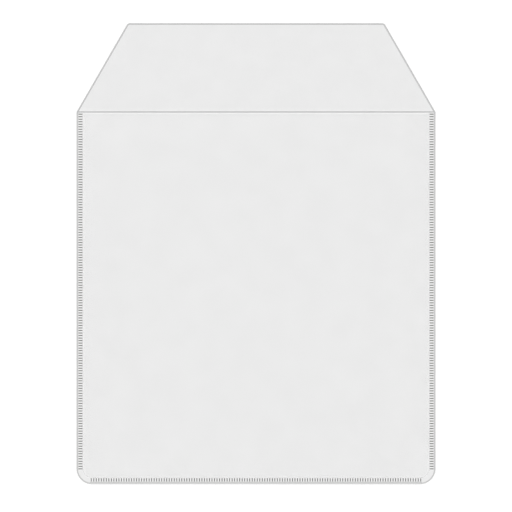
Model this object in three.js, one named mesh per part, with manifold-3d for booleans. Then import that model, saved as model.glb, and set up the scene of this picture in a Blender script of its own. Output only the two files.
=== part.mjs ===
// A self-adhesive sleeve for one optical disc, lying on its back with the flap open.
// Two clear polypropylene films are welded along three sides by knurled bars. The back film runs on
// past a scored crease as the closing flap. The pocket's back carries an adhesive coat under a paper
// liner, which is slit in two so that it can be lifted and peeled off.
// Millimetres, +Z up. The origin is the centre of the pocket's back, on the surface that it lies on.
// +Y points towards the mouth and the flap.
import * as THREE from "three";
import { mergeGeometries, mergeVertices } from "three/addons/utils/BufferGeometryUtils.js";
import Module from "manifold-3d";

// What the pocket holds
const DISC_THICKNESS = 1.2;
const DISC_CLEARANCE = 0.3;

// Outline, seen from the front
const SLEEVE_WIDTH = 127;
const POCKET_HEIGHT = 131.7;
const BOTTOM_CORNER_RADIUS = 5.5;
const LEAST_CORNER_RADIUS = 0.2;
const FLAP_HEIGHT = 31.4;
const FLAP_SIDE_LEAN = THREE.MathUtils.degToRad(30);
const FLAP_CORNER_RADIUS = 1.1;

// Sheets, from the bottom up
const LINER_THICKNESS = 0.08;
const ADHESIVE_THICKNESS = 0.03;
const BACK_FILM_THICKNESS = 0.14;
const FRONT_FILM_THICKNESS = 0.12;

// The rounded bead along every cut edge of the welds and the flap
const BEAD_WIDTH = 0.5;
const BEAD_RISE = 0.05;
const BEAD_STEPS = 6;

// Weld: inside its bead, a row of knurl marks across the seam
const MARK_LENGTH = 1.5;
const MARK_WIDTH = 0.4;
const MARK_SIDE_RUN = 0.08;
const MARK_DEPTH = 0.07;
const MARK_PITCH = 0.89;
const MARK_MARGIN = 0.06;
const FIRST_MARK_BELOW_MOUTH = 0.3;
const MARKS_ABOVE_BOTTOM = 5.4;
const MARKS_FROM_SIDE = 5.2;

// Front film: the shoulder that lifts it from the weld to its raised middle
const SHOULDER_RUN = 1.6;
const SHOULDER_STEPS = 8;

// Crease between the pocket and the flap
const CREASE_WIDTH = 0.8;
const SCORE_WIDTH = 0.5;
const SCORE_DEPTH = 0.05;
const MOUTH_SETBACK = 0.1;
const CLOSED_FLAP_CLEARANCE = 0.1;

// Back
const ADHESIVE_INSET = 1;
const LINER_SETBACK = 1;
const LIFT_STRIP_WIDTH = 26;
const LINER_SLIT = 0.2;
const LINER_AXIS_OFFSET = 0.05;

const ARC_STEPS = 12;

// Lines and levels that follow from the sizes above
const HALF_WIDTH = SLEEVE_WIDTH / 2;
const CREASE_Y = POCKET_HEIGHT / 2;
const BOTTOM_Y = -POCKET_HEIGHT / 2;
const CREASE_BOTTOM_Y = CREASE_Y - CREASE_WIDTH / 2;
const MOUTH_Y = CREASE_BOTTOM_Y - MOUTH_SETBACK;
const ADHESIVE_Z = LINER_THICKNESS;
const BACK_FILM_Z = ADHESIVE_Z + ADHESIVE_THICKNESS;
const BACK_TOP_Z = BACK_FILM_Z + BACK_FILM_THICKNESS;
const POCKET_GAP = DISC_THICKNESS + DISC_CLEARANCE;
const SEAM_WIDTH = BEAD_WIDTH + MARK_LENGTH + 2 * MARK_MARGIN;

// The marks of each row, and where the side rows stop above the bottom weld
const SIDE_ROW = POCKET_HEIGHT / 2 + MOUTH_Y - FIRST_MARK_BELOW_MOUTH - MARKS_ABOVE_BOTTOM;
const SIDE_MARKS = Math.floor(SIDE_ROW / MARK_PITCH) + 1;
const BOTTOM_MARKS = Math.floor((SLEEVE_WIDTH - 2 * MARKS_FROM_SIDE) / MARK_PITCH) + 1;
const FIRST_MARK_Y = MOUTH_Y - FIRST_MARK_BELOW_MOUTH;
const SIDE_WELD_END_Y = FIRST_MARK_Y - (SIDE_MARKS - 0.5) * MARK_PITCH;

// The closed flap lies on the front film, so it turns about a line halfway up that stack.
const FLAP_AXIS_Z = BACK_TOP_Z + (POCKET_GAP + FRONT_FILM_THICKNESS + CLOSED_FLAP_CLEARANCE) / 2;

const wasm = await Module();
wasm.setup();

const clearFilm = new THREE.MeshStandardMaterial({ color: 0xebebeb, roughness: 0.35, metalness: 0 });
const weldedFilm = new THREE.MeshStandardMaterial({ color: 0xc9c8c6, roughness: 0.3, metalness: 0 });
const adhesive = new THREE.MeshStandardMaterial({ color: 0xf1efe6, roughness: 0.25, metalness: 0 });
const linerPaper = new THREE.MeshStandardMaterial({ color: 0xf6f5f0, roughness: 0.6, metalness: 0 });

// Solids for joining and cutting

function toSolid(geometry) {
  const bare = geometry.clone();
  bare.deleteAttribute("normal");
  bare.deleteAttribute("uv");
  const merged = mergeVertices(bare, 1e-4);
  return new wasm.Manifold(
    new wasm.Mesh({
      numProp: 3,
      vertProperties: merged.attributes.position.array,
      triVerts: new Uint32Array(merged.index.array),
    }),
  );
}

function toGeometry(solid) {
  const mesh = solid.getMesh();
  const geometry = new THREE.BufferGeometry();
  geometry.setAttribute("position", new THREE.BufferAttribute(mesh.vertProperties, 3));
  geometry.setIndex(new THREE.BufferAttribute(mesh.triVerts, 1));
  geometry.computeVertexNormals();
  return geometry;
}

// A shape pushed up from the XY plane
function slab(shape, depth) {
  return new THREE.ExtrudeGeometry(shape, { depth, bevelEnabled: false, curveSegments: ARC_STEPS });
}

// A section drawn in Y and Z, pushed along +X from the YZ plane
function bar(section, length) {
  const alongX = new THREE.Matrix4().makeBasis(
    new THREE.Vector3(0, 1, 0),
    new THREE.Vector3(0, 0, 1),
    new THREE.Vector3(1, 0, 0),
  );
  return slab(section, length).applyMatrix4(alongX);
}

function rectangle(left, right, bottom, top) {
  const shape = new THREE.Shape();
  shape.moveTo(left, bottom);
  shape.lineTo(right, bottom);
  shape.lineTo(right, top);
  shape.lineTo(left, top);
  shape.closePath();
  return shape;
}

// Outlines

// A line that rounds two corners between its ends. The corners have one radius and turn by one angle,
// their centres are level, and each is given by its centre's X and the angle that its arc starts at.
function corneredLine(first, corners, centreY, radius, turn, last) {
  const points = [first];
  for (const [centreX, from] of corners) {
    for (let i = 0; i <= ARC_STEPS; i++) {
      const angle = from + (i / ARC_STEPS) * turn;
      const x = centreX + radius * Math.cos(angle);
      points.push(new THREE.Vector2(x, centreY + radius * Math.sin(angle)));
    }
  }
  points.push(last);
  return points;
}

// The pocket's outline moved in by a distance: down the left side, round the two bottom corners and up
// the right side to a top line. It has the same number of points at every distance.
function pocketLine(inset, top) {
  const side = HALF_WIDTH - inset;
  const radius = Math.max(BOTTOM_CORNER_RADIUS - inset, LEAST_CORNER_RADIUS);
  const corners = [[radius - side, Math.PI], [side - radius, 1.5 * Math.PI]];
  const first = new THREE.Vector2(-side, top);
  const last = new THREE.Vector2(side, top);
  return corneredLine(first, corners, BOTTOM_Y + inset + radius, radius, Math.PI / 2, last);
}

// Half the flap's width at a height above the crease
function flapHalfWidth(above) {
  return HALF_WIDTH - Math.tan(FLAP_SIDE_LEAN) * above;
}

// The flap's outline past the crease, moved in by a distance: up the right side, which leans in, round
// the two tip corners and down the left side. It has the same number of points at every distance.
function flapLine(inset) {
  const start = CREASE_WIDTH / 2;
  const side = flapHalfWidth(start) - inset / Math.cos(FLAP_SIDE_LEAN);
  const radius = Math.max(FLAP_CORNER_RADIUS - inset, LEAST_CORNER_RADIUS);
  const above = FLAP_HEIGHT - inset - radius;
  const centreX = flapHalfWidth(above) - (inset + radius) / Math.cos(FLAP_SIDE_LEAN);
  const corners = [[centreX, FLAP_SIDE_LEAN], [-centreX, Math.PI / 2]];
  const first = new THREE.Vector2(side, CREASE_Y + start);
  const last = new THREE.Vector2(-side, CREASE_Y + start);
  return corneredLine(first, corners, CREASE_Y + above, radius, Math.PI / 2 - FLAP_SIDE_LEAN, last);
}

// Back film and crease

function backFilm() {
  return slab(new THREE.Shape(pocketLine(0, CREASE_BOTTOM_Y)), BACK_FILM_THICKNESS);
}

// The living hinge: the same film with a score pressed into its face, cut to the sleeve's outline
function flapCrease() {
  const half = CREASE_WIDTH / 2;
  const section = new THREE.Shape();
  section.moveTo(-half, 0);
  section.lineTo(half, 0);
  section.lineTo(half, BACK_FILM_THICKNESS);
  section.lineTo(SCORE_WIDTH / 2, BACK_FILM_THICKNESS);
  section.lineTo(0, BACK_FILM_THICKNESS - SCORE_DEPTH);
  section.lineTo(-SCORE_WIDTH / 2, BACK_FILM_THICKNESS);
  section.lineTo(-half, BACK_FILM_THICKNESS);
  section.closePath();
  const scored = bar(section, SLEEVE_WIDTH).translate(-HALF_WIDTH, CREASE_Y, 0);
  const outline = new THREE.Shape();
  outline.moveTo(-HALF_WIDTH, CREASE_Y - half);
  outline.lineTo(HALF_WIDTH, CREASE_Y - half);
  outline.lineTo(HALF_WIDTH, CREASE_Y);
  outline.lineTo(flapHalfWidth(half), CREASE_Y + half);
  outline.lineTo(-flapHalfWidth(half), CREASE_Y + half);
  outline.lineTo(-HALF_WIDTH, CREASE_Y);
  outline.closePath();
  return toGeometry(toSolid(scored).intersect(toSolid(slab(outline, BACK_FILM_THICKNESS))));
}

// Bands that follow an outline

// A closed band along an outline, which is given as a function of the inset. Each station across it has
// a place on the underside and one on the upper face, each an inset and a height. The first station is
// the outermost.
function outlineBand(stations, outline) {
  const line = (inset, height) =>
    outline(inset).map((point) => new THREE.Vector3(point.x, point.y, height));
  const under = stations.map((station) => line(...station.under));
  const upper = stations.map((station) => line(...station.upper));
  const last = stations.length - 1;
  const end = under[0].length - 1;
  const corners = [];
  const quad = (a, b, c, d) => corners.push(a, b, c, a, c, d);
  for (let j = 1; j <= end; j++) {
    quad(under[0][j - 1], under[0][j], upper[0][j], upper[0][j - 1]);
    quad(under[last][j], under[last][j - 1], upper[last][j - 1], upper[last][j]);
  }
  for (let i = 1; i <= last; i++) {
    quad(under[i - 1][0], upper[i - 1][0], upper[i][0], under[i][0]);
    quad(under[i][end], upper[i][end], upper[i - 1][end], under[i - 1][end]);
    for (let j = 1; j <= end; j++) {
      quad(upper[i - 1][j - 1], upper[i - 1][j], upper[i][j], upper[i][j - 1]);
      quad(under[i - 1][j - 1], under[i][j - 1], under[i][j], under[i - 1][j]);
    }
  }
  return new THREE.BufferGeometry().setFromPoints(corners);
}

// Stations across the rounded bead on the cut edge of a sheet
function beadStations(thickness) {
  const stations = [];
  for (let i = 0; i <= BEAD_STEPS; i++) {
    const inset = (i / BEAD_STEPS) * BEAD_WIDTH;
    const rise = BEAD_RISE * Math.sin((i / BEAD_STEPS) * Math.PI);
    stations.push({ under: [inset, 0], upper: [inset, thickness + rise] });
  }
  return stations;
}

function mouthLine(inset) {
  return pocketLine(inset, MOUTH_Y);
}

// Flap

// The back film past the crease, with its bead on three sides and a flat middle
function flapFilm() {
  const edge = toSolid(outlineBand(beadStations(BACK_FILM_THICKNESS), flapLine));
  const middle = toSolid(slab(new THREE.Shape(flapLine(BEAD_WIDTH)), BACK_FILM_THICKNESS));
  return toGeometry(edge.add(middle));
}

// Front film

// The shoulder leaves the weld level, climbs a smooth curve and runs out level with the front panel.
// Both its faces follow that curve, one film thickness apart.
function shoulderBand() {
  const stations = [];
  for (let i = 0; i <= SHOULDER_STEPS; i++) {
    const share = i / SHOULDER_STEPS;
    const inset = SEAM_WIDTH + share * SHOULDER_RUN;
    const height = POCKET_GAP * THREE.MathUtils.smoothstep(share, 0, 1);
    const slope = Math.atan((6 * share * (1 - share) * POCKET_GAP) / SHOULDER_RUN);
    const upperInset = inset - FRONT_FILM_THICKNESS * Math.sin(slope);
    const upperHeight = height + FRONT_FILM_THICKNESS * Math.cos(slope);
    stations.push({ under: [inset, height], upper: [upperInset, upperHeight] });
  }
  return outlineBand(stations, mouthLine);
}

// The flat middle of the front film, over the disc's place
function frontPanel() {
  return slab(new THREE.Shape(mouthLine(SEAM_WIDTH + SHOULDER_RUN)), FRONT_FILM_THICKNESS);
}

// Weld

// The front film's fused edge, one band round three sides: its bead, then the flat that takes the marks
function weldBand() {
  const inner = { under: [SEAM_WIDTH, 0], upper: [SEAM_WIDTH, FRONT_FILM_THICKNESS] };
  return outlineBand([...beadStations(FRONT_FILM_THICKNESS), inner], mouthLine);
}

// A row of knurl marks to cut away: shallow troughs with leaning sides that lie along +X, one pitch
// apart along +Y, the first at the origin. Their mouths stand clear of the film's face.
function markRow(count) {
  const half = MARK_WIDTH / 2;
  const trough = new THREE.Shape();
  trough.moveTo(MARK_SIDE_RUN - half, -MARK_DEPTH);
  trough.lineTo(half - MARK_SIDE_RUN, -MARK_DEPTH);
  trough.lineTo(half, 0);
  trough.lineTo(half, MARK_DEPTH);
  trough.lineTo(-half, MARK_DEPTH);
  trough.lineTo(-half, 0);
  trough.closePath();
  const mark = bar(trough, MARK_LENGTH);
  const marks = [];
  for (let i = 0; i < count; i++) {
    marks.push(mark.clone().translate(0, i * MARK_PITCH, 0));
  }
  return mergeGeometries(marks).translate(BEAD_WIDTH + MARK_MARGIN, 0, FRONT_FILM_THICKNESS);
}

// The three stretches of a band: its left side, its right side, and its bottom with both corners
const stretchBlocks = {
  left: rectangle(-SLEEVE_WIDTH, 0, SIDE_WELD_END_Y, POCKET_HEIGHT),
  right: rectangle(0, SLEEVE_WIDTH, SIDE_WELD_END_Y, POCKET_HEIGHT),
  bottom: rectangle(-SLEEVE_WIDTH, SLEEVE_WIDTH, -POCKET_HEIGHT, SIDE_WELD_END_Y),
};

// Where the row of marks starts on each stretch, on the weld's outer edge, and how it is turned
const markRows = {
  left: { count: SIDE_MARKS, turn: 0, x: -HALF_WIDTH, y: SIDE_WELD_END_Y + MARK_PITCH / 2 },
  right: { count: SIDE_MARKS, turn: Math.PI, x: HALF_WIDTH, y: FIRST_MARK_Y },
  bottom: {
    count: BOTTOM_MARKS,
    turn: Math.PI / 2,
    x: ((BOTTOM_MARKS - 1) * MARK_PITCH) / 2,
    y: BOTTOM_Y,
  },
};

function stretchOf(band, side) {
  return band.intersect(toSolid(slab(stretchBlocks[side], POCKET_GAP + 2 * FRONT_FILM_THICKNESS)));
}

function weldSeam(band, side) {
  const { count, turn, x, y } = markRows[side];
  const cutter = markRow(count).rotateZ(turn).translate(x, y, 0);
  return toGeometry(stretchOf(band, side).subtract(toSolid(cutter)));
}

// Assembly

const part = new THREE.Group();

// A group whose origin is a point on a hinge line, for the pieces that turn about that line
function pivot(x, y, z) {
  const group = new THREE.Group();
  group.position.set(x, y, z);
  part.add(group);
  return group;
}

// Adds a piece whose own origin is at a height above the part's origin, to the part or to a pivot.
function addPiece(name, geometry, material, height, group = part) {
  const mesh = new THREE.Mesh(geometry, material);
  mesh.name = name;
  mesh.position.set(0, 0, height);
  if (group !== part) {
    mesh.position.sub(group.position);
  }
  group.add(mesh);
}

addPiece("back_film", backFilm(), clearFilm, BACK_FILM_Z);
addPiece("flap_crease", flapCrease(), clearFilm, BACK_FILM_Z);
addPiece("front_panel", frontPanel(), clearFilm, BACK_TOP_Z + POCKET_GAP);

const shoulder = toSolid(shoulderBand());
const weld = toSolid(weldBand());
for (const side of ["left", "right", "bottom"]) {
  addPiece("front_shoulder_" + side, toGeometry(stretchOf(shoulder, side)), clearFilm, BACK_TOP_Z);
  addPiece("weld_seam_" + side, weldSeam(weld, side), weldedFilm, BACK_TOP_Z);
}

const flapPivot = pivot(0, CREASE_Y, FLAP_AXIS_Z);
addPiece("flap_film", flapFilm(), clearFilm, BACK_FILM_Z, flapPivot);

const adhesiveShape = new THREE.Shape(pocketLine(ADHESIVE_INSET, CREASE_BOTTOM_Y - ADHESIVE_INSET));
addPiece("adhesive_coat", slab(adhesiveShape, ADHESIVE_THICKNESS), adhesive, ADHESIVE_Z);

// The liner ends short of the crease. Each half peels away from the slit and folds back over its outer
// edge, about a line on the adhesive's face just outside that edge.
const liner = toSolid(slab(new THREE.Shape(pocketLine(0, CREASE_Y - LINER_SETBACK)), LINER_THICKNESS));
const slitX = HALF_WIDTH - LIFT_STRIP_WIDTH;
const wideBlock = rectangle(-SLEEVE_WIDTH, slitX - LINER_SLIT, -POCKET_HEIGHT, POCKET_HEIGHT);
const stripBlock = rectangle(slitX, SLEEVE_WIDTH, -POCKET_HEIGHT, POCKET_HEIGHT);
const wideHalf = toGeometry(liner.intersect(toSolid(slab(wideBlock, LINER_THICKNESS))));
const stripHalf = toGeometry(liner.intersect(toSolid(slab(stripBlock, LINER_THICKNESS))));
const linerAxisX = HALF_WIDTH + LINER_AXIS_OFFSET;
addPiece("liner_wide", wideHalf, linerPaper, 0, pivot(-linerAxisX, 0, ADHESIVE_Z));
addPiece("liner_strip", stripHalf, linerPaper, 0, pivot(linerAxisX, 0, ADHESIVE_Z));

export default part;
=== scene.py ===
"""Dresses a self-adhesive disc sleeve: its films, welds, adhesive, liner, and the stage that shows it."""

from math import pi, radians, sin, tan

import bmesh
import bpy
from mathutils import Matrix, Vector
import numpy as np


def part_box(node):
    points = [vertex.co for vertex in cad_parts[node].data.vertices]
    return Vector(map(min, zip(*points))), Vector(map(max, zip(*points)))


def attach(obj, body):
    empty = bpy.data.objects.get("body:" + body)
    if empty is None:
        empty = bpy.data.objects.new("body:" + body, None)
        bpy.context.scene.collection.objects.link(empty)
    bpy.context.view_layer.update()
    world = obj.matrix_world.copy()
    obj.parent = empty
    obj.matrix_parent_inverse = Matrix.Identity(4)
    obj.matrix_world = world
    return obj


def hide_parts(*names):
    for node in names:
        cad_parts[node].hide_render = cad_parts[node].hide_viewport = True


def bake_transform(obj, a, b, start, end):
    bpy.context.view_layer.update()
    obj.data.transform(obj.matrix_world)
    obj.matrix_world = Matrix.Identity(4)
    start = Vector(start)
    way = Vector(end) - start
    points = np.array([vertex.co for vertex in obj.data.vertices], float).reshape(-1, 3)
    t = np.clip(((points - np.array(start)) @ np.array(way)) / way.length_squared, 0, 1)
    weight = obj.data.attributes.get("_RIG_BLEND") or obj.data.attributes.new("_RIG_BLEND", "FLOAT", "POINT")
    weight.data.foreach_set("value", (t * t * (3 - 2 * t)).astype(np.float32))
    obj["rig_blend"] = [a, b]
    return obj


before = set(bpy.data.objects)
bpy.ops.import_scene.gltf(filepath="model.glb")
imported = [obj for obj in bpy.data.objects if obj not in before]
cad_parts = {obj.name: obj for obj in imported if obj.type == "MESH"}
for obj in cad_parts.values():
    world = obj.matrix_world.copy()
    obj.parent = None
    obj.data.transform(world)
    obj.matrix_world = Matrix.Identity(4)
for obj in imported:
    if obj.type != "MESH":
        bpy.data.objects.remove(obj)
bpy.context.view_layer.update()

bl_info = {
    "name": "Disc sleeve",
    "version": (1, 0, 0),
    "blender": (4, 5, 0),
    "location": "View3D > Sidebar > Sleeve",
    "description": "Models the films of a self-adhesive disc sleeve and gives every piece its finish",
    "category": "Object",
}

MM = 0.001

# Places that the construction gives, in metres
BACK_LOW, BACK_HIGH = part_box("back_film")
CREASE_LOW, CREASE_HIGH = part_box("flap_crease")
PANEL_LOW, PANEL_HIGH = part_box("front_panel")

HALF_WIDTH = BACK_HIGH[0]
BOTTOM_Y = BACK_LOW[1]
CREASE_Y = (CREASE_LOW[1] + CREASE_HIGH[1]) / 2
CREASE_HALF = (CREASE_HIGH[1] - CREASE_LOW[1]) / 2
TIP_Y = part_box("flap_film")[1][1]
MOUTH_Y = PANEL_HIGH[1]
SHOULDER_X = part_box("front_shoulder_right")[1][0]
WELD_WIDTH = HALF_WIDTH - SHOULDER_X
SHOULDER_RUN = SHOULDER_X - PANEL_HIGH[0]
SIDE_WELD_END_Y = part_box("weld_seam_left")[0][1]
BACK_TOP_Z = BACK_HIGH[2]
BACK_THICKNESS = BACK_TOP_Z - BACK_LOW[2]
POCKET_GAP = PANEL_LOW[2] - BACK_TOP_Z
FRONT_THICKNESS = PANEL_HIGH[2] - PANEL_LOW[2]

# New sheets keep this far from the faces that they would otherwise share with a neighbour.
SKIN_GAP = 0.004 * MM

# Strips of the crease, either side of its middle, that bend as the flap folds
FOLD_STEPS = 12

# Rows of faces across the bead on the cut edge, and one more past it
BEAD_ROWS = 6
BEAD_MARGIN = 0.1 * MM

# Faces round each corner of the pocket, of the flap and of the front film
CORNER_STEPS = 14
TIP_STEPS = 6
FILM_CORNER_STEPS = 10

# Strips each way over the front film, which let it wave
WAVE_STRIPS = 24

# How far past the mouth the front film is drawn before its open end is cut off
MOUTH_SPARE = 8 * MM

# A cut takes points that are closer to it than the first as lying on it, and points that it leaves closer
# together than the second are merged.
CUT_THRESHOLD = 0.0001 * MM
MERGE_DISTANCE = 0.003 * MM

# Edges sharper than this stay crisp when the films are smoothed.
SHARP_ANGLE = radians(40)


class SleeveSizes(bpy.types.PropertyGroup):
    """Sizes that belong to the finish of the sleeve and not to its construction."""

    corner_radius: bpy.props.FloatProperty(
        name="Corner radius", description="Outer radius of the two bottom corners",
        default=5.5 * MM, min=0, unit="LENGTH",
    )
    flap_lean: bpy.props.FloatProperty(
        name="Flap lean", description="How far the flap's sides lean in from upright",
        default=radians(30), subtype="ANGLE",
    )
    tip_radius: bpy.props.FloatProperty(
        name="Tip radius", description="Radius of the flap's two tip corners",
        default=1.1 * MM, min=0, unit="LENGTH",
    )
    edge_width: bpy.props.FloatProperty(
        name="Cut edge width", description="Width of the melted bead along every cut edge",
        default=0.5 * MM, min=0, unit="LENGTH",
    )
    edge_rise: bpy.props.FloatProperty(
        name="Cut edge rise", description="Height of that bead above the film",
        default=0.05 * MM, min=0, unit="LENGTH",
    )
    score_width: bpy.props.FloatProperty(
        name="Score width", description="Width of the pressed line that the flap folds along",
        default=0.5 * MM, min=0, unit="LENGTH",
    )
    score_depth: bpy.props.FloatProperty(
        name="Score depth", description="Depth of that pressed line",
        default=0.05 * MM, min=0, unit="LENGTH",
    )
    billow: bpy.props.FloatProperty(
        name="Billow", description="How far the front film sags out of flat in its waves",
        default=0.15 * MM, min=0, unit="LENGTH",
    )
    wave_length: bpy.props.FloatProperty(
        name="Wave length", description="Distance over which those waves rise and fall",
        default=32 * MM, min=0, unit="LENGTH",
    )
    shoulder_steps: bpy.props.IntProperty(
        name="Shoulder steps", description="Rows of faces across the front film's shoulder",
        default=12, min=3,
    )


def colour(name, description, default):
    """A colour property, from red, green and blue or from one grey level."""
    value = default if isinstance(default, tuple) else (default,) * 3
    return bpy.props.FloatVectorProperty(
        name=name, description=description, default=value, size=3, min=0, max=1, subtype="COLOR"
    )


class SleeveColours(bpy.types.PropertyGroup):
    """Colours and clearness of the sleeve's materials."""

    flap_film: colour("Flap film", "Film of the flap", 0.89)
    bonded_film: colour("Bonded film", "Film of the back, over the adhesive", 0.885)
    front_film: colour("Front film", "Film of the front", 0.98)
    # The cut edge colour also serves as the painted shade behind the front film's mouth.
    cut_edge_and_shade: colour("Cut edge", "Melted bead on the flap's cut edge, and the shade behind the mouth", 0.56)
    crease: colour("Crease", "Pressed line that the flap folds along", 0.565)
    weld: colour("Weld", "Fused film between the knurl marks", 0.9)
    weld_corner: colour("Weld corner", "Fused film round the bottom corners, which has no marks", 0.83)
    weld_bead: colour("Weld bead", "Bead along the outside of the weld", 0.57)
    knurl_mark: colour("Knurl mark", "Bottom of each pressed mark", (0.17, 0.17, 0.164))
    adhesive: colour("Adhesive", "Coat on the back", (0.84, 0.83, 0.78))
    liner: colour("Liner", "Release paper over the adhesive", (0.9, 0.885, 0.83))
    floor: colour("Floor", "Floor that the sleeve lies on", 1.0)
    flap_haze: bpy.props.FloatProperty(
        name="Flap haze", description="How much the flap's embossed face hides",
        default=0.85, min=0, max=1, subtype="FACTOR",
    )
    bonded_haze: bpy.props.FloatProperty(
        name="Bonded haze", description="How much the back film hides where it is bonded to the adhesive",
        default=0.95, min=0, max=1, subtype="FACTOR",
    )
    front_haze: bpy.props.FloatProperty(
        name="Front haze", description="How much the front film's embossed face hides",
        default=0.25, min=0, max=1, subtype="FACTOR",
    )
    smooth_haze: bpy.props.FloatProperty(
        name="Smooth haze", description="How much the smooth face of any film hides",
        default=0.05, min=0, max=1, subtype="FACTOR",
    )


# Shader values and surfaces


class Value:
    """A number on a surface. Arithmetic on it adds the Math nodes for it."""

    def __init__(self, surface, socket):
        self.surface = surface
        self.socket = socket

    def maths(self, operation, *terms):
        """The result of a Math node on some terms."""
        sockets = dict(enumerate(terms))
        node = self.surface.add("ShaderNodeMath", {"operation": operation}, sockets)
        return Value(self.surface, node.outputs[0])

    def __add__(self, other):
        return self.maths("ADD", self, other)

    def __radd__(self, other):
        return self.maths("ADD", other, self)

    def __sub__(self, other):
        return self.maths("SUBTRACT", self, other)

    def __rsub__(self, other):
        return self.maths("SUBTRACT", other, self)

    def __mul__(self, other):
        return self.maths("MULTIPLY", self, other)

    def __rmul__(self, other):
        return self.maths("MULTIPLY", other, self)

    def __abs__(self):
        return self.maths("ABSOLUTE", self)

    def greatest(self, other):
        """The larger of two values."""
        return self.maths("MAXIMUM", self, other)

    def root(self):
        """The square root."""
        return self.maths("SQRT", self)

    def rise(self, low, high):
        """0 up to low, 1 from high, and a smooth rise between them."""
        node = self.surface.add(
            "ShaderNodeMapRange",
            {"interpolation_type": "SMOOTHSTEP"},
            {"Value": self, "From Min": low, "From Max": high},
        )
        return Value(self.surface, node.outputs["Result"])

    def fall(self, low, high):
        """1 up to low, 0 from high, and a smooth fall between them."""
        return 1 - self.rise(low, high)


class Nodes:
    """The emptied node tree of a material or of the world."""

    def __init__(self, owner):
        owner.use_nodes = True
        self.tree = owner.node_tree
        self.tree.nodes.clear()

    def add(self, kind, settings, sockets):
        """Adds a node: its settings first, then the value or the link of each socket."""
        node = self.tree.nodes.new(kind)
        for name, setting in settings.items():
            setattr(node, name, setting)
        self.fill(node, sockets)
        return node

    def fill(self, node, sockets):
        """Sets or links sockets of a node, each by name or number."""
        for key, value in sockets.items():
            source = value.socket if isinstance(value, Value) else value
            if isinstance(source, bpy.types.NodeSocket):
                self.tree.links.new(source, node.inputs[key])
            else:
                node.inputs[key].default_value = source

    def rgba(self, value):
        """A colour with its fourth number, or a socket as it is."""
        return value if isinstance(value, bpy.types.NodeSocket) else (*value, 1.0)

    def mix(self, share, first, second):
        """A colour between two others."""
        sockets = {"Factor": share, 6: self.rgba(first), 7: self.rgba(second)}
        return self.add("ShaderNodeMix", {"data_type": "RGBA"}, sockets).outputs[2]

    def looked_at(self):
        """1 where the camera, a reflection or clear stuff shows this to the eye, 0 where it only lights."""
        ray = self.add("ShaderNodeLightPath", {}, {}).outputs
        kinds = ("Is Camera Ray", "Is Glossy Ray", "Is Transmission Ray")
        camera, glossy, clear = (Value(self, ray[kind]) for kind in kinds)
        return camera.greatest(glossy).greatest(clear)


class Surface(Nodes):
    """A node material around one Principled BSDF, whose fixed values are given by socket name."""

    def __init__(self, name, fixed):
        self.material = bpy.data.materials.new(name)
        super().__init__(self.material)
        self.shader = self.add("ShaderNodeBsdfPrincipled", {}, fixed)
        self.add("ShaderNodeOutputMaterial", {}, {"Surface": self.shader.outputs[0]})

    def shade(self, **sockets):
        """Sets or links the Principled BSDF's own sockets, with _ for a space in their names."""
        self.fill(self.shader, {name.replace("_", " "): value for name, value in sockets.items()})

    def millimetres(self, plan=None):
        """Places on the surface in millimetres: on a UV map by its name, or else in the part's own frame."""
        if plan:
            source = self.add("ShaderNodeUVMap", {"uv_map": plan}, {}).outputs["UV"]
        else:
            source = self.add("ShaderNodeTexCoord", {}, {}).outputs["Object"]
        scale = self.add("ShaderNodeVectorMath", {"operation": "SCALE"}, {0: source, "Scale": 1 / MM})
        return scale.outputs[0]

    def axes(self, places):
        """The three coordinates of places."""
        return [Value(self, axis) for axis in self.add("ShaderNodeSeparateXYZ", {}, {0: places}).outputs]

    def inset(self, x, y, radius):
        """How far in from the pocket's cut edge a place is, round its lower corners. The radius at most."""
        out_x = (abs(x) - (HALF_WIDTH / MM - radius)).greatest(0)
        out_y = (BOTTOM_Y / MM + radius - y).greatest(0)
        return radius - (out_x * out_x + out_y * out_y).root()

    def stretched(self, places, factors):
        """Places multiplied axis by axis."""
        sockets = {0: places, 1: factors}
        return self.add("ShaderNodeVectorMath", {"operation": "MULTIPLY"}, sockets).outputs[0]

    def noise(self, places, per_mm, detail):
        """A smooth random value about 0.5, with that many swings in a millimetre, and finer ones on top."""
        sockets = {"Vector": places, "Scale": per_mm, "Detail": detail}
        return Value(self, self.add("ShaderNodeTexNoise", {}, sockets).outputs["Fac"])

    def curls(self, places, per_mm, half_width):
        """1 along thin curly lines, where a smooth random value passes its middle."""
        return abs(self.noise(places, per_mm, 1.0) - 0.5).fall(0, half_width)

    def flakes(self, places, per_mm):
        """The distance to the nearest of scattered points, with that many in a millimetre."""
        sockets = {"Vector": places, "Scale": per_mm}
        return Value(self, self.add("ShaderNodeTexVoronoi", {}, sockets).outputs["Distance"])

    def attribute(self, name):
        """A number that the mesh stores at its points."""
        return Value(self, self.add("ShaderNodeAttribute", {"attribute_name": name}, {}).outputs["Fac"])

    def relief(self, height, depth, strength):
        """Bumps the surface by a height of 0 to 1 that stands for a depth in metres."""
        sockets = {"Height": height, "Distance": depth, "Strength": strength}
        self.shade(Normal=self.add("ShaderNodeBump", {}, sockets).outputs[0])


# Materials

FILM_IOR = 1.49
FILM_SPECULAR = 0.45

# The depth of the emboss on a film's outer face, as a share of its relief, and of the smooth face's ripple
EMBOSSED = 0.35
SMOOTH = 0.08

# The white that bent film turns towards, which also serves as painted light beside the welds and on the
# corner welds' inner rim and as the painted highlight at the front film's mouth; and how far the bending
# reaches from the middle of the crease and the painted light from the inside of a weld, in mm
STRESS_AND_LIGHT_WHITE = (0.99, 0.99, 0.99)
BENT_REACH = 1.8
PAINTED_LIGHT_REACH = 1.3

# How far back from the mouth the front film's painted highlight reaches, and the painted shade behind it, in
# mm
MOUTH_EDGE = 0.3
MOUTH_SHADE = 1.5

# Where the bottom row of knurl marks ends on either side, in mm
MARKS_END_X = 58.7

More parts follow.
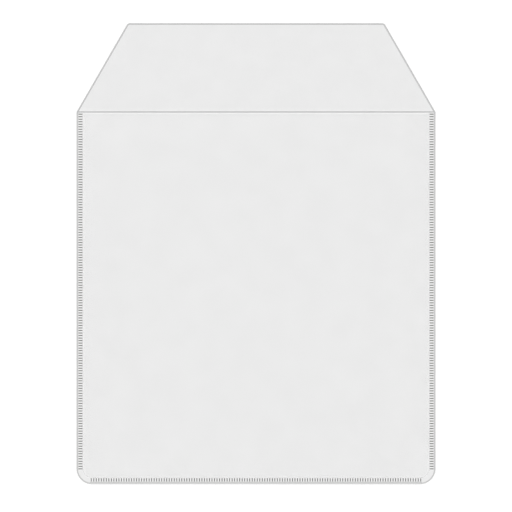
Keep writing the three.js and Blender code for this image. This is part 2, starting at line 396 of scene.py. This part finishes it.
# How far in from the cut edge the melt of the bead reaches, at the sides, at the bottom and at the corners,
# and over what distance it fades out either side of its end and thins before it, in mm
SIDE_MELT = 0.7
BOTTOM_MELT = 0.95
CORNER_MELT = 0.3
MELT_FADE = 0.14
MELT_THINNING = 0.4


def toned(colour, factor):
    """A colour made lighter or darker by a factor."""
    return tuple(factor * level for level in colour)


class Film(Surface):
    """One face of a clear film: its haze, its emboss, its faint waves and uneven gloss."""

    def __init__(self, name, haze, emboss):
        super().__init__(name, {"IOR": FILM_IOR, "Alpha": haze, "Specular IOR Level": FILM_SPECULAR})
        self.places = self.millimetres("plan")
        self.cloud = self.noise(self.places, 0.11, 4.0)
        wave = self.noise(self.places, 0.045, 1.0)
        self.relief(self.noise(self.places, 2.2, 3.0) * emboss + wave * 0.65, 0.02 * MM, 0.5)
        self.shade(Roughness=self.cloud * 0.1 + (0.1 + emboss / 2))

    def tinted(self, tint):
        """The film's own colour, a little uneven."""
        return self.mix(self.cloud.rise(0.35, 0.65), toned(tint, 0.985), tint)


def back_film_material(scene, name, tint, haze, emboss):
    """Clear film with a darker cut edge and a pressed crease, whitened by bending; painted light beside the
    welds.
    """
    sizes = scene.sleeve_sizes
    colours = scene.sleeve_colours
    surface = Film(name, haze, emboss)
    x, y, _ = surface.axes(surface.places)

    across = abs(y - CREASE_Y / MM)
    half = sizes.score_width / MM / 2
    crease = across.fall(half - 0.06, half + 0.04)
    streaks = surface.noise(surface.stretched(surface.places, (1, 0.1, 1)), 0.9, 3.0)
    mouth = MOUTH_Y / MM
    bare = y.rise(mouth - MOUTH_EDGE - 0.1, mouth - MOUTH_EDGE)
    bent = across.fall(half, BENT_REACH) * streaks * bare * 0.9

    # Painted light: the film is made whiter in a strip beside the welds, to lift the shade of the front
    # film's shoulder.
    inset = surface.inset(x, y, sizes.corner_radius / MM)
    weld = WELD_WIDTH / MM
    painted_light = inset.fall(weld, weld + PAINTED_LIGHT_REACH) * y.fall(mouth - 0.5, mouth)

    edge = sizes.edge_width / MM
    line = surface.attribute("edge_distance").fall(edge + 0.02, edge + 0.1)
    whitened_and_lit = surface.mix(bent.greatest(painted_light), surface.tinted(tint), STRESS_AND_LIGHT_WHITE)
    creased = surface.mix(crease, whitened_and_lit, colours.crease)
    surface.shade(Base_Color=surface.mix(line, creased, colours.cut_edge_and_shade))
    return surface.material


def front_film_material(scene, name, haze, emboss):
    """The thinner front film, with a painted highlight along its cut mouth and a faint painted shade behind
    it.
    """
    colours = scene.sleeve_colours
    surface = Film(name, haze, emboss)
    y = surface.axes(surface.places)[1]
    # Painted highlight: a white band at the cut mouth. Behind it, a faint painted shade in the cut edge
    # colour.
    highlight_start = MOUTH_Y / MM - MOUTH_EDGE
    shade = y.rise(MOUTH_Y / MM - MOUTH_SHADE, highlight_start) * 0.4
    edge = y.rise(highlight_start - 0.05, highlight_start + 0.05)
    shaded = surface.mix(shade, surface.tinted(colours.front_film), colours.cut_edge_and_shade)
    surface.shade(Base_Color=surface.mix(edge, shaded, STRESS_AND_LIGHT_WHITE))
    return surface.material


def weld_material(scene):
    """Fused film: its height tells bead, land and pressed mark apart.

    Melt from the bead covers the outer ends of the marks and thins inwards. The bead is paler along the
    bottom. The unmarked corners are darker, but for a rim of painted light along their inner edge.
    """
    colours = scene.sleeve_colours
    fixed = {"IOR": FILM_IOR, "Alpha": 1.0, "Specular IOR Level": FILM_SPECULAR}
    surface = Surface("welded_film", fixed)
    places = surface.millimetres()
    x, y, height = surface.axes(places)
    land = (BACK_TOP_Z + FRONT_THICKNESS) / MM
    mark = height.fall(land - 0.03, land - 0.004)
    bead = height.rise(land, land + 0.01)
    side_end = SIDE_WELD_END_Y / MM
    below = y.fall(side_end - 0.2, side_end)
    corner = abs(x).rise(MARKS_END_X, MARKS_END_X + 0.2) * below

    inset = surface.inset(x, y, scene.sleeve_sizes.corner_radius / MM)
    melt_end = SIDE_MELT + below * (BOTTOM_MELT - SIDE_MELT) - corner * (BOTTOM_MELT - CORNER_MELT)
    past_end = inset - melt_end
    melt = past_end.fall(-MELT_FADE, MELT_FADE)
    thin = past_end.rise(-MELT_THINNING, 0)
    bottom = abs(x).fall(MARKS_END_X - 1, MARKS_END_X + 1) * below
    # Painted light: a whiter rim along the inner edge of the unmarked corners, which lifts the dark line
    # where the front film's shoulder starts.
    rim = inset.rise(WELD_WIDTH / MM - 0.3, WELD_WIDTH / MM - 0.1) * 0.4

    patchy = surface.noise(places, 1.3, 2.0)
    surface.relief(surface.noise(places, 3.0, 3.0), 0.01 * MM, 0.5)
    surface.shade(Roughness=0.26 + patchy * 0.12)
    fused = surface.mix(patchy.rise(0.3, 0.7), toned(colours.weld, 0.96), colours.weld)
    plain = surface.mix(corner, fused, surface.mix(rim, colours.weld_corner, STRESS_AND_LIGHT_WHITE))
    pressed = surface.mix(patchy.rise(0.35, 0.65), colours.knurl_mark, toned(colours.knurl_mark, 1.3))
    marked = surface.mix(mark, plain, pressed)
    bead_colour = surface.mix(bottom, colours.weld_bead, toned(colours.weld_bead, 1.13))
    melt_colour = surface.mix(thin, toned(colours.weld_bead, 1.03), toned(colours.weld_bead, 1.3))
    melted = surface.mix(melt, marked, melt_colour)
    surface.shade(Base_Color=surface.mix(bead, melted, bead_colour))
    return surface.material


def adhesive_material(colours):
    """A milky acrylic coat with coating streaks and a few small bubbles."""
    surface = Surface("adhesive", {"IOR": 1.47, "Alpha": 1.0})
    places = surface.millimetres()
    streaks = surface.noise(surface.stretched(places, (1, 0.03, 1)), 0.35, 3.0)
    bubbles = surface.flakes(places, 0.22).fall(0.04, 0.09)
    surface.relief(streaks * 0.5 + bubbles, 0.01 * MM, 0.6)
    surface.shade(Roughness=streaks * 0.15 + 0.2)
    coat = colours.adhesive
    streaked = surface.mix(streaks.rise(0.3, 0.7), toned(coat, 0.985), coat)
    surface.shade(Base_Color=surface.mix(bubbles * 0.4, streaked, (1.0, 1.0, 1.0)))
    return surface.material


def liner_material(colours):
    """Siliconised release paper: fine curly fibres, soft clouds and a dull sheen."""
    surface = Surface("liner_paper", {"IOR": 1.45, "Alpha": 1.0, "Specular IOR Level": 0.35})
    places = surface.millimetres()
    long_fibres = surface.curls(surface.stretched(places, (1.0, 0.6, 1)), 0.9, 0.02)
    short_fibres = surface.curls(surface.stretched(places, (0.8, 1.3, 1)), 1.7, 0.03)
    clouds = surface.noise(places, 0.22, 4.0)
    fibres = long_fibres.greatest(short_fibres) * surface.noise(places, 1.2, 2.0).rise(0.35, 0.65)
    surface.relief(fibres * 0.7 + clouds * 0.3, 0.015 * MM, 0.5)
    surface.shade(Roughness=0.42 + fibres * 0.14)
    paper = colours.liner
    clouded = surface.mix(clouds.rise(0.3, 0.7), toned(paper, 0.96), paper)
    surface.shade(Base_Color=surface.mix(fibres * 0.8, clouded, toned(paper, 0.9)))
    return surface.material


def give(piece, *materials):
    """Puts materials on a new piece. Solidify gives the second one to the faces that it adds."""
    for material in materials:
        piece.data.materials.append(material)


def dress(node, material):
    """Puts a material in the slots of a piece that the construction gives."""
    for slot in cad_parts[node].material_slots:
        slot.material = material


# Modelling by hand, in code


def choose(piece, kind, test, edge_distance=None):
    """In edit mode, selects just the points, edges or faces whose middle passes a test.

    With an edge distance, only points at that distance from the cut edge are selected.
    """
    bpy.ops.mesh.select_mode(type={"verts": "VERT", "edges": "EDGE", "faces": "FACE"}[kind])
    bpy.ops.mesh.select_all(action="DESELECT")
    mesh = bmesh.from_edit_mesh(piece.data)
    layer = mesh.verts.layers.float.get("edge_distance")
    for element in getattr(mesh, kind):
        corners = [element] if kind == "verts" else element.verts
        middle = sum((corner.co for corner in corners), Vector()) / len(corners)
        in_row = edge_distance is None or near(element[layer] * MM, edge_distance)
        element.select_set(in_row and test(middle))
    mesh.select_flush_mode()
    bmesh.update_edit_mesh(piece.data)


def near(value, place):
    """Whether two places along an axis are the same to a thousandth of a millimetre."""
    return abs(value - place) < 0.001 * MM


def start_plate(name, low, high, height):
    """Adds a flat plate between two corners, facing up, and leaves it in edit mode."""
    bpy.ops.object.select_all(action="DESELECT")
    centre = ((low[0] + high[0]) / 2, (low[1] + high[1]) / 2, height)
    bpy.ops.mesh.primitive_plane_add(size=1, location=centre)
    plate = bpy.context.active_object
    plate.name = name
    plate.data.name = name
    plate.scale = (high[0] - low[0], high[1] - low[1], 1)
    bpy.ops.object.transform_apply(location=True, rotation=True, scale=True)
    bpy.ops.object.mode_set(mode="EDIT")
    return plate


def cut_line(axis, place, clear_beyond=False):
    """Cuts the whole mesh along a plane square to an axis, and may clear what lies beyond it."""
    normal = [0, 0, 0]
    normal[axis] = 1
    point = [place * n for n in normal]
    bpy.ops.mesh.select_all(action="SELECT")
    bpy.ops.mesh.bisect(plane_co=point, plane_no=normal, clear_outer=clear_beyond, threshold=CUT_THRESHOLD)


def round_corners(piece, places, offset, segments):
    """Rounds the flat corners at some places."""
    choose(piece, "verts", lambda co: any(near(co.x, x) and near(co.y, y) for x, y in places))
    bpy.ops.mesh.bevel(affect="VERTICES", offset=offset, segments=segments, profile=0.5)


def thicken(piece, thickness, offset):
    """Gives a sheet its thickness: below its faces for an offset of -1, above them for 1."""
    bpy.ops.object.mode_set(mode="OBJECT")
    modifier = piece.modifiers.new("thickness", "SOLIDIFY")
    modifier.thickness = thickness
    modifier.offset = offset
    modifier.use_even_offset = True
    modifier.material_offset = 1
    modifier.material_offset_rim = 1 if offset > 0 else 0
    bpy.ops.object.modifier_apply(modifier=modifier.name)


def add_plan(piece):
    """Stores each corner's place seen from above, so that the pattern stays on the film as it bends."""
    bpy.ops.object.mode_set(mode="OBJECT")
    plan = piece.data.uv_layers.new(name="plan")
    for loop in piece.data.loops:
        plan.data[loop.index].uv = piece.data.vertices[loop.vertex_index].co.xy


def step_insets(piece, steps):
    """Insets the selected faces step by step, and stores at each point how far in it lies, in mm."""
    mesh = bmesh.from_edit_mesh(piece.data)
    mesh.verts.layers.float.new("edge_distance")
    reached = 0
    for step in steps:
        bpy.ops.mesh.inset(thickness=step)
        reached += step
        mesh = bmesh.from_edit_mesh(piece.data)
        layer = mesh.verts.layers.float["edge_distance"]
        for face in mesh.faces:
            if face.select:
                for vert in face.verts:
                    vert[layer] = reached / MM
    bmesh.update_edit_mesh(piece.data)


# Pieces


class SLEEVE_OT_back_sheet(bpy.types.Operator):
    """One sheet for the back of the pocket and the flap, with a beaded cut edge and a pressed crease"""

    bl_idname = "sleeve.back_sheet"
    bl_label = "Back sheet and flap"

    def execute(self, context):
        scene = context.scene
        sizes = scene.sleeve_sizes
        colours = scene.sleeve_colours
        top_z = BACK_TOP_Z - SKIN_GAP
        sheet = start_plate("back_sheet", (-HALF_WIDTH, BOTTOM_Y), (HALF_WIDTH, CREASE_Y), top_z)

        # The flap grows out of the crease and narrows to its tip.
        flap_height = TIP_Y - CREASE_Y
        choose(sheet, "edges", lambda co: near(co.y, CREASE_Y))
        bpy.ops.mesh.extrude_region_move(TRANSFORM_OT_translate={"value": (0, flap_height, 0)})
        tip_half = HALF_WIDTH - tan(sizes.flap_lean) * flap_height
        bpy.ops.transform.resize(value=(tip_half / HALF_WIDTH, 1, 1), center_override=(0, TIP_Y, top_z))
        bottom = [(-HALF_WIDTH, BOTTOM_Y), (HALF_WIDTH, BOTTOM_Y)]
        round_corners(sheet, bottom, sizes.corner_radius, CORNER_STEPS)
        tip_offset = sizes.tip_radius * tan((pi / 2 - sizes.flap_lean) / 2)
        round_corners(sheet, [(-tip_half, TIP_Y), (tip_half, TIP_Y)], tip_offset, TIP_STEPS)

        # Rows along the cut edge for its bead, then lines along the crease for the fold
        bpy.ops.mesh.select_mode(type="FACE")
        bpy.ops.mesh.select_all(action="SELECT")
        step_insets(sheet, [sizes.edge_width / BEAD_ROWS] * BEAD_ROWS + [BEAD_MARGIN])
        strips = range(-FOLD_STEPS, FOLD_STEPS + 1)
        fold_lines = [CREASE_Y + CREASE_HALF * i / FOLD_STEPS for i in strips]
        for line_y in fold_lines:
            cut_line(1, line_y)
        bpy.ops.mesh.select_all(action="SELECT")
        bpy.ops.mesh.remove_doubles(threshold=MERGE_DISTANCE)
        give(
            sheet,
            back_film_material(scene, "flap_film", colours.flap_film, colours.flap_haze, EMBOSSED),
            back_film_material(scene, "smooth_film", colours.flap_film, colours.smooth_haze, SMOOTH),
            back_film_material(scene, "bonded_film", colours.bonded_film, colours.bonded_haze, EMBOSSED),
        )
        thicken(sheet, BACK_THICKNESS - 2 * SKIN_GAP, -1)

        # On the upper face, the score is pressed in and the flap's bead stands up.
        bpy.ops.object.mode_set(mode="EDIT")
        middle_z = BACK_TOP_Z - BACK_THICKNESS / 2
        for line_y in fold_lines:
            depth = sizes.score_depth * (1 - abs(line_y - CREASE_Y) / (sizes.score_width / 2))
            if depth > 0:
                choose(sheet, "verts", lambda co: near(co.y, line_y) and co.z > middle_z)
                bpy.ops.transform.translate(value=(0, 0, -depth))
        for i in range(1, BEAD_ROWS):
            row = sizes.edge_width * i / BEAD_ROWS
            choose(sheet, "verts", lambda co: co.y > CREASE_Y and co.z > middle_z, edge_distance=row)
            bpy.ops.transform.translate(value=(0, 0, sizes.edge_rise * sin(pi * i / BEAD_ROWS)))

        # Before the crease, the upper face takes the third material.
        choose(sheet, "faces", lambda co: co.y < CREASE_Y and co.z > middle_z)
        sheet.active_material_index = 2
        bpy.ops.object.material_slot_assign()
        add_plan(sheet)
        bpy.ops.object.shade_smooth_by_angle(angle=SHARP_ANGLE)
        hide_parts("back_film", "flap_crease", "flap_film")
        start = (0, CREASE_LOW[1], BACK_TOP_Z)
        end = (0, CREASE_HIGH[1], BACK_TOP_Z)
        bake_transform(sheet, "pocket", "flap", start=start, end=end)
        return {"FINISHED"}


class SLEEVE_OT_front_film(bpy.types.Operator):
    """The raised front film: a smooth shoulder on three sides, a gently waving middle and an open mouth"""

    bl_idname = "sleeve.front_film"
    bl_label = "Front film"

    def execute(self, context):
        scene = context.scene
        sizes = scene.sleeve_sizes
        colours = scene.sleeve_colours
        inset = WELD_WIDTH + SKIN_GAP
        low = (inset - HALF_WIDTH, BOTTOM_Y + inset)
        high = (HALF_WIDTH - inset, MOUTH_Y + MOUTH_SPARE)
        film = start_plate("front_film", low, high, BACK_TOP_Z + SKIN_GAP)
        corners = [(low[0], low[1]), (high[0], low[1])]
        round_corners(film, corners, sizes.corner_radius - inset, FILM_CORNER_STEPS)

        # Each row of the shoulder is an inset, lifted along a curve that starts and ends flat.
        bpy.ops.mesh.select_mode(type="FACE")
        bpy.ops.mesh.select_all(action="SELECT")
        film.vertex_groups.new(name="raised")
        lifted = 0
        for i in range(sizes.shoulder_steps):
            share = (i + 1) / sizes.shoulder_steps
            height = POCKET_GAP * share * share * (3 - 2 * share)
            bpy.ops.mesh.inset(thickness=SHOULDER_RUN / sizes.shoulder_steps)
            bpy.ops.transform.translate(value=(0, 0, height - lifted))
            scene.tool_settings.vertex_group_weight = share * share
            bpy.ops.object.vertex_group_assign()
            lifted = height
        cut_line(1, MOUTH_Y, clear_beyond=True)

        # Lines over the middle let it sag in soft waves, which keep off the welds.
        for i in range(1, WAVE_STRIPS):
            cut_line(0, low[0] + (high[0] - low[0]) * i / WAVE_STRIPS)
            cut_line(1, low[1] + (MOUTH_Y - low[1]) * i / WAVE_STRIPS)
        bpy.ops.object.mode_set(mode="OBJECT")
        waves = film.modifiers.new("waves", "DISPLACE")
        waves.texture = bpy.data.textures.new("waves", "CLOUDS")
        waves.texture.noise_scale = sizes.wave_length
        waves.texture.noise_depth = 0
        waves.direction = "Z"
        waves.vertex_group = "raised"
        waves.mid_level = 0
        waves.strength = -sizes.billow
        bpy.ops.object.modifier_apply(modifier=waves.name)
        give(
            film,
            front_film_material(scene, "front_film_smooth", colours.smooth_haze, SMOOTH),
            front_film_material(scene, "front_film", colours.front_haze, EMBOSSED),
        )
        thicken(film, FRONT_THICKNESS - SKIN_GAP, 1)
        add_plan(film)
        bpy.ops.object.shade_smooth_by_angle(angle=SHARP_ANGLE)
        shoulders = ["front_shoulder_" + side for side in ("left", "right", "bottom")]
        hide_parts("front_panel", *shoulders)
        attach(film, "pocket")
        return {"FINISHED"}


class SLEEVE_OT_welds(bpy.types.Operator):
    """Finishes the three knurled welds"""

    bl_idname = "sleeve.welds"
    bl_label = "Welds"

    def execute(self, context):
        material = weld_material(context.scene)
        for side in ("left", "right", "bottom"):
            dress("weld_seam_" + side, material)
        return {"FINISHED"}


class SLEEVE_OT_adhesive(bpy.types.Operator):
    """Finishes the adhesive coat"""

    bl_idname = "sleeve.adhesive"
    bl_label = "Adhesive coat"

    def execute(self, context):
        dress("adhesive_coat", adhesive_material(context.scene.sleeve_colours))
        return {"FINISHED"}


class SLEEVE_OT_liner(bpy.types.Operator):
    """Finishes both halves of the release liner"""

    bl_idname = "sleeve.liner"
    bl_label = "Release liner"

    def execute(self, context):
        material = liner_material(context.scene.sleeve_colours)
        for node in ("liner_wide", "liner_strip"):
            dress(node, material)
        return {"FINISHED"}


# Stage

# The picture's width at the sleeve, and the height of its middle above the pocket's middle
PICTURE_WIDTH = 181.2 * MM
PICTURE_MIDDLE_Y = 14.88 * MM
LENS = 200.0
SENSOR = 36.0

FLOOR_SIZE = 6.0
FLOOR_Z = -0.02 * MM
FLOOR_GLOW = 0.12
SKY_STRENGTH = 0.92
KEY_STRENGTH = 0.09
KEY_ANGLE = radians(50)
KEY_LEAN = (radians(-14), radians(-16), 0)


def floor_material(colours):
    """A pale matt floor, which the camera and reflections see a little brighter than it is lit."""
    fixed = {"Base Color": (*colours.floor, 1.0), "Roughness": 1.0, "Specular IOR Level": 0.0}
    surface = Surface("floor", {**fixed, "Emission Strength": 1.0})
    glow = surface.mix(surface.looked_at(), (0.0,) * 3, (FLOOR_GLOW,) * 3)
    surface.shade(Emission_Color=glow)
    return surface.material


class SLEEVE_OT_stage(bpy.types.Operator):
    """A pale floor, soft even light and a camera straight above the sleeve"""

    bl_idname = "sleeve.stage"
    bl_label = "Stage"

    def execute(self, context):
        scene = context.scene
        bpy.ops.object.select_all(action="DESELECT")
        bpy.ops.mesh.primitive_plane_add(size=FLOOR_SIZE, location=(0, 0, FLOOR_Z))
        floor = context.active_object
        floor.name = "floor"
        give(floor, floor_material(scene.sleeve_colours))
        self.light(scene)

        camera = bpy.data.objects.new("camera", bpy.data.cameras.new("camera"))
        scene.collection.objects.link(camera)
        camera.data.lens = LENS
        camera.data.sensor_width = SENSOR
        camera.data.clip_end = 100
        camera.location = (0, PICTURE_MIDDLE_Y, BACK_TOP_Z + PICTURE_WIDTH * LENS / SENSOR)
        scene.camera = camera
        scene.view_settings.view_transform = "Standard"
        return {"FINISHED"}

    def light(self, scene):
        """An even white sky, and one large soft lamp high on the left."""
        scene.world = bpy.data.worlds.new("sky")
        nodes = Nodes(scene.world)
        shown = nodes.mix(nodes.looked_at(), (SKY_STRENGTH,) * 3, (1.0,) * 3)
        sky = nodes.add("ShaderNodeBackground", {}, {"Color": shown, "Strength": 1.0})
        nodes.add("ShaderNodeOutputWorld", {}, {"Surface": sky.outputs[0]})

        lamp = bpy.data.objects.new("key_lamp", bpy.data.lights.new("key_lamp", "SUN"))
        lamp.data.energy = KEY_STRENGTH * pi
        lamp.data.angle = KEY_ANGLE
        lamp.rotation_euler = KEY_LEAN
        scene.collection.objects.link(lamp)


class SLEEVE_PT_panel(bpy.types.Panel):
    """Lists the sleeve's pieces, sizes and colours"""

    bl_idname = "SLEEVE_PT_panel"
    bl_label = "Disc sleeve"
    bl_space_type = "VIEW_3D"
    bl_region_type = "UI"
    bl_category = "Sleeve"

    def draw(self, context):
        for operator in OPERATORS:
            self.layout.operator(operator.bl_idname)
        for group in (context.scene.sleeve_sizes, context.scene.sleeve_colours):
            box = self.layout.box()
            for name in group.bl_rna.properties.keys():
                if name not in ("rna_type", "name"):
                    box.prop(group, name)


OPERATORS = (
    SLEEVE_OT_back_sheet,
    SLEEVE_OT_front_film,
    SLEEVE_OT_welds,
    SLEEVE_OT_adhesive,
    SLEEVE_OT_liner,
    SLEEVE_OT_stage,
)
CLASSES = (SleeveSizes, SleeveColours, *OPERATORS, SLEEVE_PT_panel)


def register():
    for each in CLASSES:
        bpy.utils.register_class(each)
    bpy.types.Scene.sleeve_sizes = bpy.props.PointerProperty(type=SleeveSizes)
    bpy.types.Scene.sleeve_colours = bpy.props.PointerProperty(type=SleeveColours)


def unregister():
    del bpy.types.Scene.sleeve_colours
    del bpy.types.Scene.sleeve_sizes
    for each in reversed(CLASSES):
        bpy.utils.unregister_class(each)


def main():
    register()
    bpy.ops.sleeve.back_sheet()
    bpy.ops.sleeve.front_film()
    bpy.ops.sleeve.welds()
    bpy.ops.sleeve.adhesive()
    bpy.ops.sleeve.liner()
    bpy.ops.sleeve.stage()


if __name__ == "__main__":
    main()
